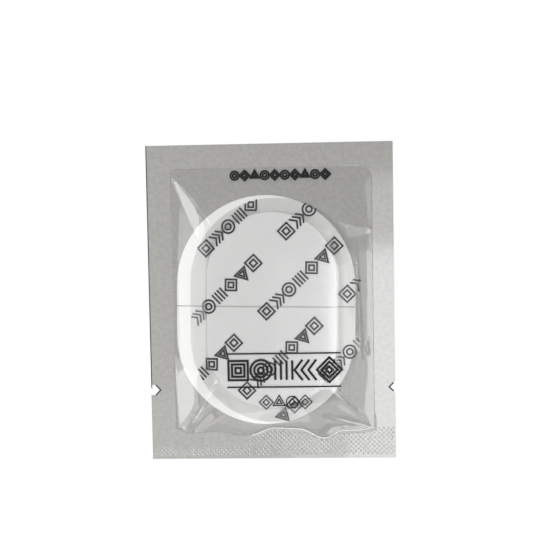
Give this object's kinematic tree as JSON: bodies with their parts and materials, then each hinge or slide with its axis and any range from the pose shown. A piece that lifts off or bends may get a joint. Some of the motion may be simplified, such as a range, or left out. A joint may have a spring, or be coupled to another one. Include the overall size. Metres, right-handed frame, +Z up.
{
  "type": "sachet-packed hydrogel electrode pad",
  "caption": "Flat heat-sealed sachet with a clear front and a foil back, holding a stadium-shaped hydrogel electrode pad between a split release liner and a clear cover film.",
  "frame": {"origin": "centre of the sachet's back, on the surface that it lies on", "axes": "+Z up, out of the clear front; +Y along the sachet's long side, away from the tear notches; +X towards the V-shaped notch"},
  "size_m": [0.07, 0.09, 0.0019],
  "materials": {
    "foil_laminate": "matte silver-grey foil laminate with a fine crimp on the seal bands",
    "clear_film": "clear glossy film",
    "coated_liner": "smooth white release coating",
    "hydrogel": "soft translucent gel",
    "cover_film": "clear film with sparse dark marks"
  },
  "bodies": {
    "root": {"back_web": "foil_laminate", "front_web": "clear_film", "liner_upper_half": "coated_liner", "liner_lower_half": "coated_liner", "gel_pad": "hydrogel", "cover_film": "cover_film"}
  },
  "joints": []
}
